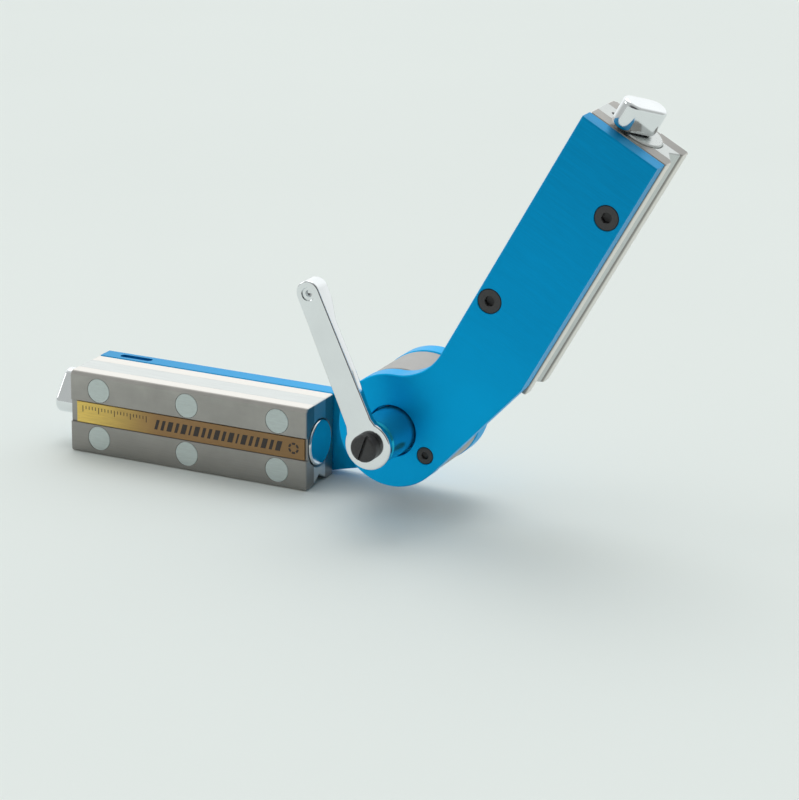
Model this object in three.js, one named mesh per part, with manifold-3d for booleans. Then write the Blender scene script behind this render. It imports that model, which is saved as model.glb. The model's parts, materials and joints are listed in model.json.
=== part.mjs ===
// Adjustable-angle switchable welding magnet: two equal magnet bars hinged on a clamped drum.
// Millimetres, +Z up. The lower bar lies along X with its working face on Z = 0, the upper bar rises
// to the right, and the hinge axis runs along Y. The origin is the bottom centre of the bounding box.
import * as THREE from "three";
import { mergeVertices } from "three/addons/utils/BufferGeometryUtils.js";
import Module from "manifold-3d";

const wasm = await Module();
wasm.setup();

// ---- Driving dimensions (mm, degrees) ----------------------------------------------------------

const FIT_GAP = 0.3; // air between pieces that seat on each other
const CUT = 1; // how far a cutter runs past the face it opens

const REST_ANGLE = 118.9; // angle between the two arms as the model stands
const HINGE_TO_BAR = 45.3; // hinge axis to the near end of a magnet bar
const HINGE_TO_WORK_FACE = 38.1; // hinge axis to the plane of a working face

const BAR_OFFSET = 1.5; // bar's mid-plane to the hinge's mid-plane, towards the side plate
const BAR_LENGTH = 116.3;
const BAR_HEIGHT = 36.7;
const POLE_THICKNESS = 7.1;
const SPACER_WIDTH = 10.8;
const LONG_CHAMFER = 1.5; // the label side's upper edge
const EDGE_CHAMFER = 0.7; // the other long edges of the poles
const VEE_WIDTH = 14;
const VEE_DEPTH = 4;

const BOLT_COLUMNS = 3;
const BOLT_END_MARGIN = 14.2;
const BOLT_EDGE_MARGIN = 7.4;
const BOLT_HEAD_RADIUS = 5.4;
const BOLT_HEAD_DEPTH = 3.6;
const BOLT_SHANK_RADIUS = 2.4;
const BOLT_GRIP = 6; // how far a tie bolt reaches into the far pole

const LABEL_THICKNESS = 0.8;
const LABEL_RECESS = 0.3; // label face below the pole's face
const LABEL_WALL = 0.25; // steel left between the label groove and the bolt heads
const LABEL_MARGIN_NEAR = 1.1;
const LABEL_MARGIN_FAR = 3;

const ROTOR_WALL = 0.6; // wall left between the rotor bore and the bolt holes
const END_DISC_RADIUS = 10.1;
const END_DISC_THICKNESS = 2.6;
const BUSH_THICKNESS = 4;
const END_DISC_EASE = 0.5;
const END_PROUD = 0.7; // end disc and bush stand this far out of the bar's ends
const SPINDLE_RADIUS = 3.5;

const KNOB_LENGTH = 20.8;
const KNOB_WIDTH = 10.4;
const KNOB_HEIGHT = 11.8;
const KNOB_OFFSET = 4.8; // rotor axis to the middle of the knob, along the knob's long side
const KNOB_END_WALL = 1.2; // knob left past the near end of its cross pin
const KNOB_EDGE = 1.6;
const LOWER_KNOB_ANGLE = -51; // turn of the knob about the bar, from lying straight across it
const UPPER_KNOB_ANGLE = -34;
const KNOB_PIN_RADIUS = 1.5;
const PLUNGER_RADIUS = 1.2;
const PLUNGER_LENGTH = 7;
const PLUNGER_GAP = 0.8; // wall between the bush's pocket and the plunger's hole

const PLATE_THICKNESS = 8.6;
const PLATE_RECESS = 0.6; // plate edge back from the working face
const HINGE_RADIUS = 24.3;
const NECK_FILLET = 23.2;
const NECK_ANGLE = 14; // slope of the plate's lower edge as it leaves the hinge
const PLATE_CHAMFER = 0.5;
const SLOT_LENGTH = 16;
const SLOT_WIDTH = 3.5;
const SLOT_DEPTH = 3;
const SLOT_END_MARGIN = 8.2;

const PLATE_SCREW_RADIUS = 2.5;
const PLATE_SCREW_HEAD = 5.1;
const PLATE_SCREW_END_MARGIN = 28.8;
const PLATE_SCREW_WORK_MARGIN = 7.6; // outer screw from the working face
const PLATE_SCREW_BACK_MARGIN = 6.1; // inner screw from the bar's back
const PLATE_SCREW_GRIP = 6; // thread in the pole
const HINGE_SCREW_RADIUS = 2;
const HINGE_SCREW_HEAD = 3.6;
const HINGE_SCREW_OFFSET = 17.5; // from the hinge axis
const DRUM_SCREW_GRIP = 8; // thread in the drum
const HINGE_SCREW_WALL = 1.1; // plate left under the raised arm's small screw
const SCREW_RIM = 0.4; // straight rim of a countersunk head
const SOCKET_SHARE = 0.44; // hexagon socket across corners against its screw head

const DRUM_RECESS = 0.3; // drum radius below the plates' hinge radius
const DRUM_EASE = 0.6;
const WASHER_THICKNESS = 0.8;
const WASHER_RECESS = 2.4; // friction washer radius below the drum's
const STUD_RADIUS = 5;
const STUD_HEAD_THICKNESS = 3.6;
const POCKET_DEPTH = 4.5; // pocket for the hub, and for the stud's head on the other plate

const HUB_RADIUS = 10.2;
const HUB_TOP_RADIUS = 9.5;
const HUB_STAND = 17.7; // hub above the plate's face
const HUB_EASE = 0.8;
const HUB_WALL = 3.6; // hub material between the stud's end and the lever screw
const SET_SCREW_RADIUS = 2.1;
const SET_SCREW_LENGTH = 3;
const SET_SCREW_ANGLE = -135; // about the hinge axis, from +X towards +Z
const SET_SCREW_HEIGHT = 6; // above the plate's face

const LEVER_LENGTH = 66.6; // hinge axis to the centre of the rounded tip
const LEVER_ANGLE = 114.4; // from +X towards +Z
const LEVER_HEAD_RADIUS = 10.1;
const LEVER_ROOT_WIDTH = 12.2;
const LEVER_TIP_RADIUS = 5.2;
const LEVER_THICKNESS = 4.6; // thickness of the head
const LEVER_WAIST = 6.2; // thickness of the arm before it swells
const LEVER_TIP_THICKNESS = 10.2;
const LEVER_SWELL = 0.78; // share of the arm's length where its back starts to swell
const LEVER_SWELL_EASE = 0.08; // share of the arm's length that rounds the start of the swell
const LEVER_ROOT_EASE = 0.3; // share of the arm's length over which it thickens behind the head
const LEVER_SCREW_HEAD = 5.8;
const LEVER_SCREW_RADIUS = 3;
const LEVER_SCREW_STAND = 4.2; // head above the lever's face
const LEVER_SCREW_EASE = 1.1;
const LEVER_SCREW_GRIP = 6;
const SCREW_SLOT_WIDTH = 1.3;
const SCREW_SLOT_ANGLE = 72;

const FINE = 32; // facets round large circles
const COARSE = 16; // facets round small circles
const DRUM_FACETS = 48;

// ---- Sizes that follow -------------------------------------------------------------------------

const barNear = HINGE_TO_BAR;
const barFar = HINGE_TO_BAR + BAR_LENGTH;
const workZ = -HINGE_TO_WORK_FACE;
const backZ = workZ + BAR_HEIGHT;
const rotorZ = workZ + BAR_HEIGHT / 2;
const barHalf = POLE_THICKNESS + SPACER_WIDTH / 2;
const poleInner = SPACER_WIDTH / 2;
const plateInner = barHalf + BAR_OFFSET + FIT_GAP;
const plateOuter = plateInner + PLATE_THICKNESS;
const boltRow = BAR_HEIGHT / 2 - BOLT_EDGE_MARGIN;
const boltHole = BOLT_SHANK_RADIUS + FIT_GAP;
const boltHeadHole = BOLT_HEAD_RADIUS + FIT_GAP;
const rotorBore = boltRow - boltHole - ROTOR_WALL;
const rotorRadius = rotorBore - FIT_GAP;
const endPocket = END_DISC_RADIUS + FIT_GAP;
const endDiscPocketDepth = END_DISC_THICKNESS - END_PROUD + FIT_GAP;
const bushPocketDepth = BUSH_THICKNESS - END_PROUD + FIT_GAP;
const grooveHalf = boltRow - boltHeadHole - LABEL_WALL;
const grooveDepth = LABEL_RECESS + LABEL_THICKNESS + FIT_GAP;
const drumRadius = HINGE_RADIUS - DRUM_RECESS;
const studHole = STUD_RADIUS + FIT_GAP;
const hubPocket = HUB_RADIUS + FIT_GAP;
const pocketFloor = plateOuter - POCKET_DEPTH;
const leverBack = plateOuter + HUB_STAND + FIT_GAP;
const leverFront = leverBack + LEVER_THICKNESS;
const radians = THREE.MathUtils.degToRad;

// ---- Materials ---------------------------------------------------------------------------------

const finish = (color, roughness, metalness) => ({ color, roughness, metalness });
const FINISHES = {
  ground_steel: finish(0x8f8c86, 0.42, 1),
  spacer_alloy: finish(0xc9cccb, 0.38, 1),
  bolt_alloy: finish(0xbac6c4, 0.45, 1),
  blue_anodised: finish(0x0086bf, 0.35, 0.6),
  chrome: finish(0xe6e9ea, 0.08, 1),
  black_oxide: finish(0x38383a, 0.5, 0.7),
  label_gold: finish(0xc9a54e, 0.45, 0.5),
  magnet: finish(0x6b6d70, 0.5, 0.8),
  drum_steel: finish(0x9a9794, 0.5, 1),
  bush_steel: finish(0xbdbdb9, 0.4, 1),
  brass: finish(0xb08d48, 0.35, 1),
};

// ---- Solid helpers -----------------------------------------------------------------------------

// A closed three.js geometry as a solid that can be joined and cut.
function solid(geometry) {
  geometry.deleteAttribute("normal");
  geometry.deleteAttribute("uv");
  const merged = mergeVertices(geometry, 1e-4);
  const kept = [];
  const index = merged.index.array;
  for (let i = 0; i < index.length; i += 3) {
    const [a, b, c] = [index[i], index[i + 1], index[i + 2]];
    if (a !== b && b !== c && c !== a) kept.push(a, b, c);
  }
  const mesh = new wasm.Mesh({
    numProp: 3,
    vertProperties: merged.attributes.position.array,
    triVerts: Uint32Array.from(kept),
  });
  return new wasm.Manifold(mesh);
}

// A joined or cut solid back as a three.js geometry.
function geometryOf(body) {
  const { vertProperties, triVerts, numProp } = body.getMesh();
  const positions = new Float32Array((vertProperties.length / numProp) * 3);
  for (let i = 0; i < positions.length / 3; i++) {
    for (let k = 0; k < 3; k++) positions[3 * i + k] = vertProperties[numProp * i + k];
  }
  const geometry = new THREE.BufferGeometry();
  geometry.setAttribute("position", new THREE.BufferAttribute(positions, 3));
  geometry.setIndex([...triVerts]);
  const faceted = geometry.toNonIndexed();
  faceted.computeVertexNormals();
  return faceted;
}

const cutFrom = (body, cutters) => cutters.reduce((left, cutter) => left.subtract(cutter), body);
const polygon = (points) => new THREE.Shape(points.map(([a, b]) => new THREE.Vector2(a, b)));

// An outline extruded along Z from 0 to depth, with both its rims eased by `ease`.
function extruded(shape, depth, curveSegments = COARSE, ease = 0, easeSteps = 1) {
  const bevel = { bevelThickness: ease, bevelSize: ease, bevelOffset: -ease, bevelSegments: easeSteps };
  const options = { depth: depth - 2 * ease, bevelEnabled: ease > 0, curveSegments, ...bevel };
  return new THREE.ExtrudeGeometry(shape, options).translate(0, 0, ease);
}

// An outline in (x, z) made solid from y0 to y1.
function alongY(shape, y0, y1, ...options) {
  return solid(extruded(shape, y1 - y0, ...options).rotateX(Math.PI / 2).translate(0, y1, 0));
}

// An outline in (y, z) made solid from x0 to x1.
function alongX(shape, x0, x1, ...options) {
  const turn = new THREE.Matrix4().makeBasis(
    new THREE.Vector3(0, 1, 0),
    new THREE.Vector3(0, 0, 1),
    new THREE.Vector3(1, 0, 0),
  );
  return solid(extruded(shape, x1 - x0, ...options).applyMatrix4(turn).translate(x0, 0, 0));
}

// A turned piece about an axis along Y through (x, z): the profile is a list of [radius, y].
function turnedY(profile, x = 0, z = 0, facets = COARSE) {
  const points = profile.map(([r, y]) => new THREE.Vector2(r, y));
  return outward(new THREE.LatheGeometry(points, facets).translate(x, 0, z));
}

// A turned piece about an axis along X through (y, z): the profile is a list of [radius, x].
function turnedX(profile, y = 0, z = 0, facets = COARSE) {
  const points = profile.map(([r, x]) => new THREE.Vector2(r, x));
  return outward(new THREE.LatheGeometry(points, facets).rotateZ(-Math.PI / 2).translate(0, y, z));
}

// A lathe profile may run either way along its axis: its faces are made to point out.
function outward(geometry) {
  const body = solid(geometry.clone());
  if (body.volume() > 0) return body;
  const index = geometry.index.array;
  for (let i = 0; i < index.length; i += 3) [index[i], index[i + 1]] = [index[i + 1], index[i]];
  return solid(geometry);
}

const rodY = (radius, y0, y1, x, z, facets) =>
  turnedY([[0, y0], [radius, y0], [radius, y1], [0, y1]], x, z, facets);
const rodX = (radius, x0, x1, y, z, facets) =>
  turnedX([[0, x0], [radius, x0], [radius, x1], [0, x1]], y, z, facets);
const block = (x0, x1, y0, y1, z0, z1) => {
  const box = new THREE.BoxGeometry(x1 - x0, y1 - y0, z1 - z0);
  return solid(box.translate((x0 + x1) / 2, (y0 + y1) / 2, (z0 + z1) / 2));
};

// A flat-head socket screw pointing in +Y, its head's face at y0.
function flatHeadScrew(radius, head, y0, y1, x, z) {
  const cone = head - radius;
  const neck = y0 + SCREW_RIM + cone;
  const profile = [[0, y0], [head, y0], [head, y0 + SCREW_RIM], [radius, neck], [radius, y1], [0, y1]];
  const socket = rodY(head * SOCKET_SHARE, y0 - CUT, y0 + cone, x, z, 6);
  return turnedY(profile, x, z).subtract(socket);
}

// The hole that takes that screw, with its countersink.
function flatHeadHole(radius, head, y0, y1, x, z) {
  const [r, h] = [radius + FIT_GAP, head + FIT_GAP];
  const seat = y0 + SCREW_RIM + FIT_GAP;
  const profile = [[0, y0 - CUT], [h, y0 - CUT], [h, seat], [r, seat + h - r], [r, y1], [0, y1]];
  return turnedY(profile, x, z);
}

// ---- Magnet bar, in the arm's own frame --------------------------------------------------------
// The hinge axis is Y through the origin, the bar runs along +X, the working face looks to -Z,
// the side plate is on the -Y side and the label on the +Y side. The bar is drawn with its
// mid-plane on Y = 0 and moved by BAR_OFFSET at assembly.

const boltPlaces = [];
for (let column = 0; column < BOLT_COLUMNS; column++) {
  const pitch = (BAR_LENGTH - 2 * BOLT_END_MARGIN) / (BOLT_COLUMNS - 1);
  const x = barNear + BOLT_END_MARGIN + column * pitch;
  boltPlaces.push([x, rotorZ + boltRow], [x, rotorZ - boltRow]);
}
const plateScrewPlaces = [
  [barFar - PLATE_SCREW_END_MARGIN, workZ + PLATE_SCREW_WORK_MARGIN],
  [barNear + PLATE_SCREW_END_MARGIN, backZ - PLATE_SCREW_BACK_MARGIN],
];
const veeRiseAt = (y) => VEE_DEPTH * Math.max(0, 1 - Math.abs(y) / (VEE_WIDTH / 2));

const boltShankHoles = boltPlaces.map(([x, z]) => rodY(boltHole, -barHalf + POLE_THICKNESS - BOLT_GRIP -
  FIT_GAP, barHalf + CUT, x, z));
const boltHeadHoles = boltPlaces.map(([x, z]) => rodY(boltHeadHole, barHalf - BOLT_HEAD_DEPTH - FIT_GAP,
  barHalf + CUT, x, z));
const rotorCuts = [
  rodX(rotorBore, barNear - CUT, barFar + CUT, 0, rotorZ, FINE),
  rodX(endPocket, barNear - CUT, barNear + endDiscPocketDepth, 0, rotorZ, FINE),
  rodX(endPocket, barFar - bushPocketDepth, barFar + CUT, 0, rotorZ, FINE),
];
const plungerPlace = [0, rotorZ + endPocket + PLUNGER_GAP + PLUNGER_RADIUS + FIT_GAP];
const plungerHole = rodX(PLUNGER_RADIUS + FIT_GAP, barFar - PLUNGER_LENGTH - FIT_GAP, barFar + CUT,
  ...plungerPlace);

// One pole's section on the +Y or -Y side, with its long chamfers and its share of the vee.
function poleSection(side, upperChamfer) {
  const outer = barHalf;
  const points = [
    [poleInner, workZ + veeRiseAt(poleInner)],
    [VEE_WIDTH / 2, workZ],
    [outer - EDGE_CHAMFER, workZ],
    [outer, workZ + EDGE_CHAMFER],
    [outer, backZ - upperChamfer],
    [outer - upperChamfer, backZ],
    [poleInner, backZ],
  ];
  return polygon(points.map(([y, z]) => [side * y, z]));
}

function labelPole() {
  const groove = block(barNear - CUT, barFar + CUT, barHalf - grooveDepth, barHalf + CUT,
    rotorZ - grooveHalf, rotorZ + grooveHalf);
  const body = alongX(poleSection(1, LONG_CHAMFER), barNear, barFar);
  return cutFrom(body, [...rotorCuts, ...boltShankHoles, ...boltHeadHoles, groove]);
}

function platePole() {
  const screwHoles = plateScrewPlaces.map(([x, z]) =>
    rodY(PLATE_SCREW_RADIUS + FIT_GAP, -barHalf - CUT, -barHalf + PLATE_SCREW_GRIP + FIT_GAP, x, z));
  const body = alongX(poleSection(-1, EDGE_CHAMFER), barNear, barFar);
  return cutFrom(body, [...rotorCuts, ...boltShankHoles, ...screwHoles]);
}

function backSpacer() {
  const half = poleInner - FIT_GAP;
  const body = block(barNear, barFar, -half, half, rotorZ + FIT_GAP / 2, backZ);
  return cutFrom(body, [...rotorCuts, ...boltShankHoles, plungerHole]);
}

function workSpacer() {
  const half = poleInner - FIT_GAP;
  const rise = workZ + veeRiseAt(half);
  const points = [[-half, rise], [0, workZ + VEE_DEPTH], [half, rise]];
  points.push([half, rotorZ - FIT_GAP / 2], [-half, rotorZ - FIT_GAP / 2]);
  return cutFrom(alongX(polygon(points), barNear, barFar), [...rotorCuts, ...boltShankHoles]);
}

function tieBolt([x, z]) {
  const tip = -barHalf + POLE_THICKNESS - BOLT_GRIP;
  const shoulder = barHalf - BOLT_HEAD_DEPTH;
  const profile = [[0, tip], [BOLT_SHANK_RADIUS, tip], [BOLT_SHANK_RADIUS, shoulder]];
  profile.push([BOLT_HEAD_RADIUS, shoulder], [BOLT_HEAD_RADIUS, barHalf], [0, barHalf]);
  return turnedY(profile, x, z);
}

function labelPlate() {
  const top = barHalf - LABEL_RECESS;
  return block(barNear + LABEL_MARGIN_NEAR, barFar - LABEL_MARGIN_FAR, top - LABEL_THICKNESS, top,
    rotorZ - grooveHalf + FIT_GAP, rotorZ + grooveHalf - FIT_GAP);
}

function bearingBush() {
  const back = barFar - BUSH_THICKNESS + END_PROUD;
  const [front, bore] = [barFar + END_PROUD, SPINDLE_RADIUS + FIT_GAP];
  return turnedX([[bore, back], [END_DISC_RADIUS, back], [END_DISC_RADIUS, front], [bore, front],
    [bore, back]], 0, rotorZ, FINE);
}

function detentPlunger() {
  const [y, z] = plungerPlace;
  const nose = barFar + END_PROUD / 2;
  const back = barFar - PLUNGER_LENGTH;
  const round = PLUNGER_RADIUS / 2;
  return turnedX([[0, back], [PLUNGER_RADIUS, back], [PLUNGER_RADIUS, nose - round], [round, nose],
    [0, nose]], y, z, COARSE);
}

// ---- Rotor, about its own axis along X through (0, rotorZ) -------------------------------------

const rotorStart = barNear + endDiscPocketDepth + FIT_GAP;
const rotorEnd = barFar - bushPocketDepth - FIT_GAP;
const knobBase = barFar + END_PROUD + FIT_GAP;
const knobTop = knobBase + KNOB_HEIGHT;
const spindleEnd = knobBase + KNOB_HEIGHT / 2;
const knobPinX = (knobBase + spindleEnd) / 2;
const knobPinFar = -(KNOB_OFFSET + KNOB_LENGTH / 2 - KNOB_WIDTH / 4);
const knobPinNear = KNOB_LENGTH / 2 - KNOB_OFFSET - KNOB_END_WALL;

// The pin's hole stops short of the knob's ends, where it is plugged flush.
const knobPinHole = () =>
  rodY(KNOB_PIN_RADIUS + FIT_GAP, knobPinFar - FIT_GAP, knobPinNear + FIT_GAP, knobPinX, rotorZ);

function rotorMagnet() {
  return turnedX([[0, rotorStart], [rotorRadius, rotorStart], [rotorRadius, rotorEnd],
    [SPINDLE_RADIUS, rotorEnd], [SPINDLE_RADIUS, spindleEnd], [0, spindleEnd]], 0, rotorZ, FINE)
    .subtract(knobPinHole());
}

function rotorEndDisc() {
  const inner = barNear + endDiscPocketDepth - FIT_GAP;
  const outer = inner - END_DISC_THICKNESS;
  const flat = END_DISC_RADIUS - END_DISC_EASE;
  return turnedX([[0, outer], [flat, outer], [END_DISC_RADIUS, outer + END_DISC_EASE],
    [END_DISC_RADIUS, inner], [0, inner]], 0, rotorZ, FINE);
}

// The knob as it lies with its long side across the bar; the rotor's angle is set at assembly.
function knob() {
  const straight = KNOB_LENGTH / 2 - KNOB_WIDTH / 2;
  const outline = new THREE.Shape();
  outline.absarc(straight - KNOB_OFFSET, rotorZ, KNOB_WIDTH / 2, -Math.PI / 2, Math.PI / 2, false);
  outline.absarc(-straight - KNOB_OFFSET, rotorZ, KNOB_WIDTH / 2, Math.PI / 2, (3 * Math.PI) / 2, false);
  const body = alongX(outline, knobBase, knobTop, COARSE / 2, KNOB_EDGE, 2);
  const bore = rodX(SPINDLE_RADIUS + FIT_GAP, knobBase - CUT, spindleEnd + FIT_GAP, 0, rotorZ);
  return cutFrom(body, [bore, knobPinHole()]);
}

const knobPin = () => rodY(KNOB_PIN_RADIUS, knobPinFar, knobPinNear, knobPinX, rotorZ);

// ---- Side plate --------------------------------------------------------------------------------

// The plate's outline in (x, z): a disc round the hinge, a neck and the long straight blade.
function plateOutline() {
  const bottom = workZ + PLATE_RECESS;
  const filletZ = backZ + NECK_FILLET;
  const filletX = Math.sqrt((HINGE_RADIUS + NECK_FILLET) ** 2 - filletZ ** 2);
  const meet = Math.atan2(filletZ, filletX);
  const slope = radians(NECK_ANGLE);
  const tangentX = -HINGE_RADIUS * Math.sin(slope);
  const tangentZ = -HINGE_RADIUS * Math.cos(slope);
  const cornerX = tangentX + (tangentZ - bottom) / Math.tan(slope);
  const shape = new THREE.Shape();
  shape.moveTo(barFar, backZ);
  shape.lineTo(filletX, backZ);
  shape.absarc(filletX, filletZ, NECK_FILLET, -Math.PI / 2, meet - Math.PI, true);
  shape.absarc(0, 0, HINGE_RADIUS, meet, 1.5 * Math.PI - slope, false);
  shape.lineTo(cornerX, bottom);
  shape.lineTo(barFar, bottom);
  return shape;
}

function sidePlate(hingeScrewThrough) {
  const face = -plateOuter;
  const body = alongY(plateOutline(), face, -plateInner, COARSE, PLATE_CHAMFER);
  const past = -plateInner + CUT;
  const slotEnd = barFar - SLOT_END_MARGIN - SLOT_WIDTH / 2;
  const slotStart = slotEnd - SLOT_LENGTH + SLOT_WIDTH;
  const slotY = -(plateInner + plateOuter) / 2;
  const slotFloor = backZ - SLOT_DEPTH;
  const slotRod = (x) =>
    solid(new THREE.CylinderGeometry(SLOT_WIDTH / 2, SLOT_WIDTH / 2, SLOT_DEPTH + CUT, COARSE)
      .rotateX(Math.PI / 2).translate(x, slotY, slotFloor + (SLOT_DEPTH + CUT) / 2));
  const [slotFront, slotBack] = [slotY - SLOT_WIDTH / 2, slotY + SLOT_WIDTH / 2];
  const slot = block(slotStart, slotEnd, slotFront, slotBack, slotFloor, backZ + CUT)
    .add(slotRod(slotStart)).add(slotRod(slotEnd));
  const cutters = plateScrewPlaces.map(([x, z]) =>
    flatHeadHole(PLATE_SCREW_RADIUS, PLATE_SCREW_HEAD, face, past, x, z));
  cutters.push(rodY(hubPocket, face - CUT, -pocketFloor, 0, 0, FINE));
  cutters.push(rodY(studHole, face - CUT, past, 0, 0));
  const screwFloor = hingeScrewThrough ? past : -plateInner - HINGE_SCREW_WALL;
  cutters.push(
    flatHeadHole(HINGE_SCREW_RADIUS, HINGE_SCREW_HEAD, face, screwFloor, 0, -HINGE_SCREW_OFFSET), slot);
  return cutFrom(body, cutters);
}

const plateScrewTip = FIT_GAP - plateInner + PLATE_SCREW_GRIP;
const plateScrew = ([x, z]) =>
  flatHeadScrew(PLATE_SCREW_RADIUS, PLATE_SCREW_HEAD, -plateOuter, plateScrewTip, x, z);
const hingeScrew = (tip) =>
  flatHeadScrew(HINGE_SCREW_RADIUS, HINGE_SCREW_HEAD, -plateOuter, tip, 0, -HINGE_SCREW_OFFSET);

// ---- Hinge and clamp, about Y through the origin -----------------------------------------------

const washerFront = -(plateInner - FIT_GAP);
const drumFront = washerFront + WASHER_THICKNESS + FIT_GAP;
const drumBack = plateInner - FIT_GAP;
const hubBottom = -(pocketFloor + 2 * FIT_GAP + WASHER_THICKNESS);
const hubTop = -(plateOuter + HUB_STAND);
const studTip = hubTop + HUB_WALL + LEVER_SCREW_GRIP;

const ring = (outer, inner, y0, y1, facets) =>
  turnedY([[inner, y0], [outer, y0], [outer, y1], [inner, y1], [inner, y0]], 0, 0, facets);

function drum() {
  const flat = drumRadius - DRUM_EASE;
  const body = turnedY([[studHole, drumFront], [flat, drumFront], [drumRadius, drumFront + DRUM_EASE],
    [drumRadius, drumBack - DRUM_EASE], [flat, drumBack], [studHole, drumBack], [studHole, drumFront]],
    0, 0, DRUM_FACETS);
  const screwHole = rodY(HINGE_SCREW_RADIUS + FIT_GAP, drumBack - DRUM_SCREW_GRIP - FIT_GAP,
    drumBack + CUT, 0, -HINGE_SCREW_OFFSET);
  return body.subtract(screwHole);
}

function clampStud() {
  const headBack = pocketFloor + FIT_GAP;
  const headFace = headBack + STUD_HEAD_THICKNESS;
  return turnedY([[0, studTip], [STUD_RADIUS, studTip], [STUD_RADIUS, headBack], [HUB_RADIUS, headBack],
    [HUB_RADIUS, headFace - FIT_GAP], [HUB_RADIUS - FIT_GAP, headFace], [0, headFace]], 0, 0, FINE);
}

const setScrewY = -(plateOuter + SET_SCREW_HEIGHT);
const setScrewTurn = (geometry) => geometry.rotateY(-radians(SET_SCREW_ANGLE));

function hub() {
  const body = turnedY([[0, hubBottom], [HUB_RADIUS, hubBottom], [HUB_RADIUS, -plateOuter],
    [HUB_TOP_RADIUS, hubTop + HUB_EASE], [HUB_TOP_RADIUS - HUB_EASE, hubTop], [0, hubTop]], 0, 0, FINE);
  const stud = rodY(studHole, studTip - FIT_GAP, hubBottom + CUT, 0, 0);
  const screw = rodY(LEVER_SCREW_RADIUS + FIT_GAP, hubTop - CUT, hubTop + LEVER_SCREW_GRIP + FIT_GAP, 0, 0);
  const radial = new THREE.CylinderGeometry(SET_SCREW_RADIUS + FIT_GAP, SET_SCREW_RADIUS + FIT_GAP,
    HUB_RADIUS, COARSE).rotateZ(-Math.PI / 2).translate(STUD_RADIUS + HUB_RADIUS / 2, setScrewY, 0);
  return cutFrom(body, [stud, screw, solid(setScrewTurn(radial))]);
}

function setScrew() {
  const start = studHole + FIT_GAP;
  const middle = start + SET_SCREW_LENGTH / 2;
  const rod = new THREE.CylinderGeometry(SET_SCREW_RADIUS, SET_SCREW_RADIUS, SET_SCREW_LENGTH, COARSE)
    .rotateZ(-Math.PI / 2).translate(middle, setScrewY, 0);
  const across = SET_SCREW_RADIUS * SOCKET_SHARE;
  const socket = new THREE.CylinderGeometry(across, across, SET_SCREW_LENGTH, 6)
    .rotateZ(-Math.PI / 2).translate(start + SET_SCREW_LENGTH, setScrewY, 0);
  return solid(setScrewTurn(rod)).subtract(solid(setScrewTurn(socket)));
}

// The lever lies along +X here and is turned to its angle at assembly.
function lever() {
  const r = LEVER_TIP_RADIUS;
  const root = LEVER_ROOT_WIDTH / 2;
  const shoulder = Math.sqrt(LEVER_HEAD_RADIUS ** 2 - root ** 2);
  const open = Math.asin(root / LEVER_HEAD_RADIUS);
  const plan = new THREE.Shape();
  plan.moveTo(shoulder, root);
  plan.absarc(0, 0, LEVER_HEAD_RADIUS, open, 2 * Math.PI - open, false);
  plan.absarc(LEVER_LENGTH, 0, r, -Math.PI / 2, Math.PI / 2, false);
  const slab = alongY(plan, -leverFront, -leverFront + LEVER_TIP_THICKNESS + CUT, FINE / 2);
  const end = LEVER_LENGTH + r + CUT;
  const side = new THREE.Shape();
  side.moveTo(-LEVER_HEAD_RADIUS - CUT, -leverFront);
  side.lineTo(end, -leverFront);
  side.lineTo(end, -leverFront + LEVER_TIP_THICKNESS);
  side.lineTo(LEVER_LENGTH - r, -leverFront + LEVER_TIP_THICKNESS);
  side.quadraticCurveTo(LEVER_LENGTH * (LEVER_SWELL + LEVER_SWELL_EASE), -leverFront + LEVER_WAIST,
    LEVER_LENGTH * LEVER_SWELL, -leverFront + LEVER_WAIST);
  side.quadraticCurveTo(LEVER_LENGTH * LEVER_ROOT_EASE, -leverFront + LEVER_WAIST, LEVER_HEAD_RADIUS,
    -leverFront + LEVER_THICKNESS);
  side.lineTo(-LEVER_HEAD_RADIUS - CUT, -leverFront + LEVER_THICKNESS);
  const wide = LEVER_HEAD_RADIUS + CUT;
  const edge = solid(extruded(side, 2 * wide, COARSE / 3).translate(0, 0, -wide));
  const hole = rodY(LEVER_SCREW_RADIUS + FIT_GAP, -leverFront - CUT, -leverBack + CUT, 0, 0);
  return slab.intersect(edge).subtract(hole);
}

function leverScrew() {
  const seat = -leverFront - FIT_GAP;
  const face = seat - LEVER_SCREW_STAND;
  const tip = hubTop + LEVER_SCREW_GRIP;
  const body = turnedY([[0, tip], [LEVER_SCREW_RADIUS, tip], [LEVER_SCREW_RADIUS, seat],
    [LEVER_SCREW_HEAD, seat], [LEVER_SCREW_HEAD, face + LEVER_SCREW_EASE],
    [LEVER_SCREW_HEAD - LEVER_SCREW_EASE, face], [0, face]], 0, 0, FINE);
  const slot = new THREE.BoxGeometry(2 * LEVER_SCREW_HEAD + CUT, LEVER_SCREW_STAND, SCREW_SLOT_WIDTH)
    .translate(0, face, 0).rotateY(-radians(SCREW_SLOT_ANGLE));
  return body.subtract(solid(slot));
}

// ---- Assembly ----------------------------------------------------------------------------------

function addPart(group, name, body, finishName) {
  const material = new THREE.MeshStandardMaterial(FINISHES[finishName]);
  const mesh = new THREE.Mesh(geometryOf(body), material);
  mesh.name = name;
  group.add(mesh);
  return mesh;
}

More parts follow.
